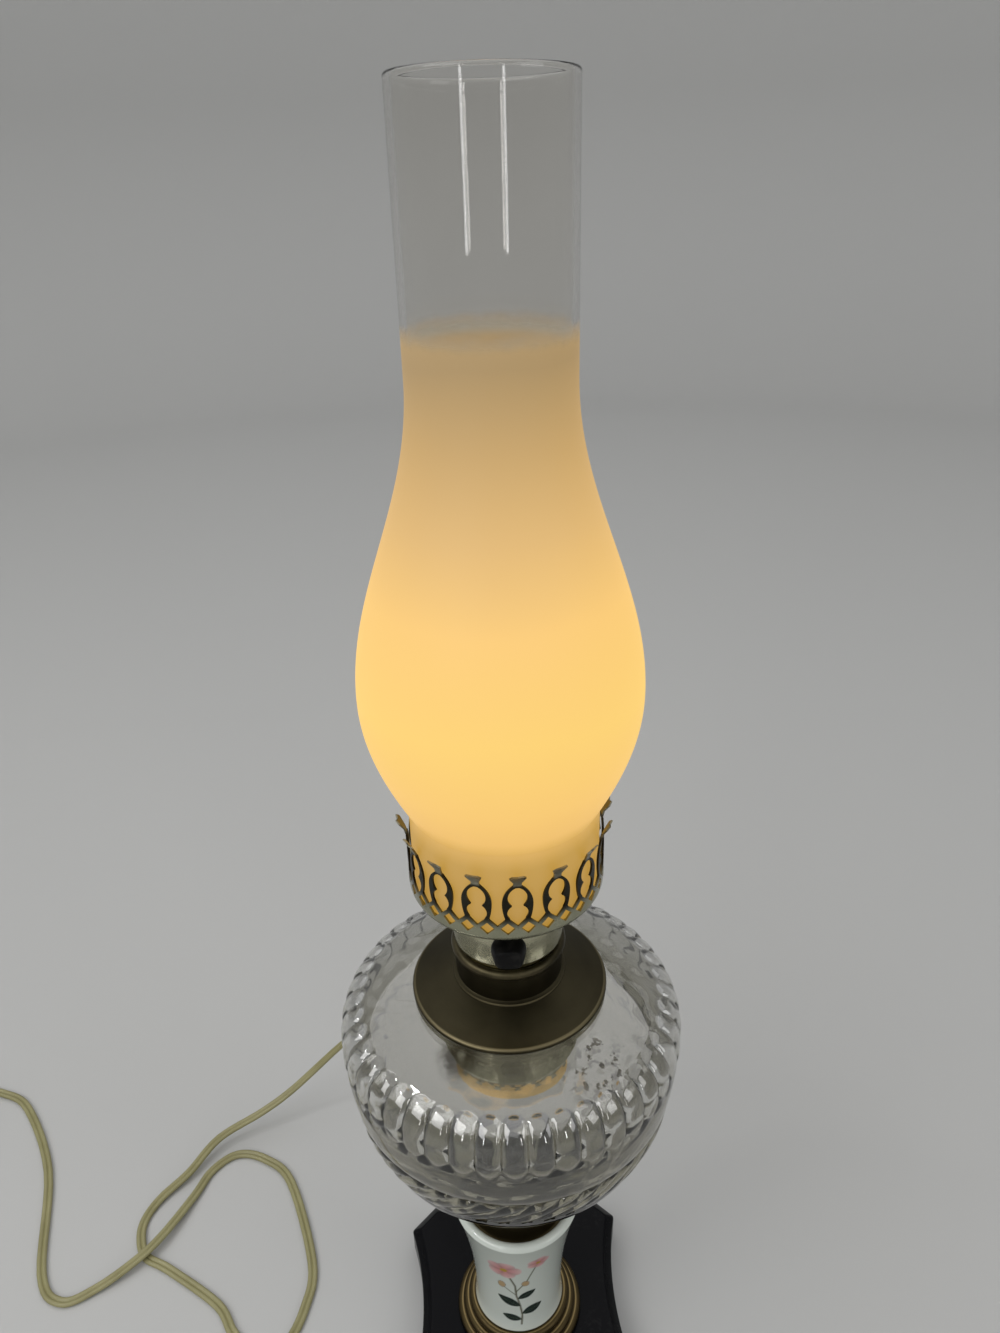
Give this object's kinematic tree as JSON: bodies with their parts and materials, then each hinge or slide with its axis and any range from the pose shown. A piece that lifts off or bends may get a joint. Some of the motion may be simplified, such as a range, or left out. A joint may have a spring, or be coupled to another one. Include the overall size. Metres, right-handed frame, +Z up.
{
  "type": "hurricane lamp",
  "caption": "Table lamp in the form of an oil lamp: square base, painted column, clear glass bowl, brass burner with a turn knob, pierced gallery, tall glass chimney and a flat cord.",
  "frame": {"origin": "centre of the base's underside, on the table", "axes": "+Z up the lamp's axis, -Y to the front where the turn knob is, +X to the right seen from the front"},
  "size_m": [0.524, 0.2439, 0.6037],
  "materials": {
    "felt": "felt pad",
    "base_black": "black gloss enamel",
    "ring_brass": "aged brass",
    "porcelain": "white glaze with a painted flower spray",
    "steel": "plain steel",
    "dark_brass": "dark antique brass",
    "font_glass": "clear pressed glass",
    "plaster": "set plaster",
    "cup_brass": "pale polished brass",
    "gallery_brass": "brass",
    "fibre": "vulcanised fibre",
    "bakelite": "moulded insulator",
    "liner_card": "insulating card",
    "wire_rubber": "insulated cores",
    "knob_black": "black moulding",
    "cap_aluminium": "rolled aluminium",
    "bulb_glass": "frosted, lit",
    "chimney_glass": "opal below, clear at the top, lit",
    "bushing_plastic": "moulded sleeve",
    "cord_vinyl": "olive gold flat twin cord",
    "tie_plastic": "strap",
    "plug_plastic": "brown moulded plug"
  },
  "bodies": {
    "lamp": {"base_felt": "felt", "base": "base_black", "base_ring": "ring_brass", "column": "porcelain", "tie_rod": "steel", "rod_washer": "steel", "rod_nut": "steel", "font_connector": "dark_brass", "font": "font_glass", "collar": "dark_brass", "collar_cement": "plaster", "burner_cup": "cup_brass", "gallery": "gallery_brass", "socket_nipple": "ring_brass", "nipple_locknut": "steel", "socket_cover": "fibre", "socket_body": "bakelite", "screw_shell": "gallery_brass", "socket_liner": "liner_card", "centre_contact": "gallery_brass", "terminal_screws": "gallery_brass", "lead_wires": "wire_rubber", "cord_bushing": "bushing_plastic", "cord": "cord_vinyl", "cord_coil": "cord_vinyl", "cord_tie": "tie_plastic", "plug_body": "plug_plastic", "plug_blades": "ring_brass"},
    "switch": {"turn_knob": "knob_black", "switch_shaft": "steel", "switch_rotor": "bakelite"},
    "bulb": {"bulb_cap": "cap_aluminium", "bulb_envelope": "bulb_glass", "bulb_contact": "bakelite"},
    "chimney_body": {"chimney": "chimney_glass"}
  },
  "joints": [
    {"name": "switch_turn", "type": "hinge", "parent": "lamp", "child": "switch", "pos_m": [0, -0.03, 0.30498], "axis": [0, -1, 0], "continuous": true},
    {"name": "bulb_out", "type": "slide", "parent": "lamp", "child": "bulb", "axis": [0, 0, 1], "range_m": [0, 0.03]},
    {"name": "chimney_lift", "type": "slide", "parent": "lamp", "child": "chimney_body", "axis": [0, 0, 1], "range_m": [0, 0.13]}
  ]
}
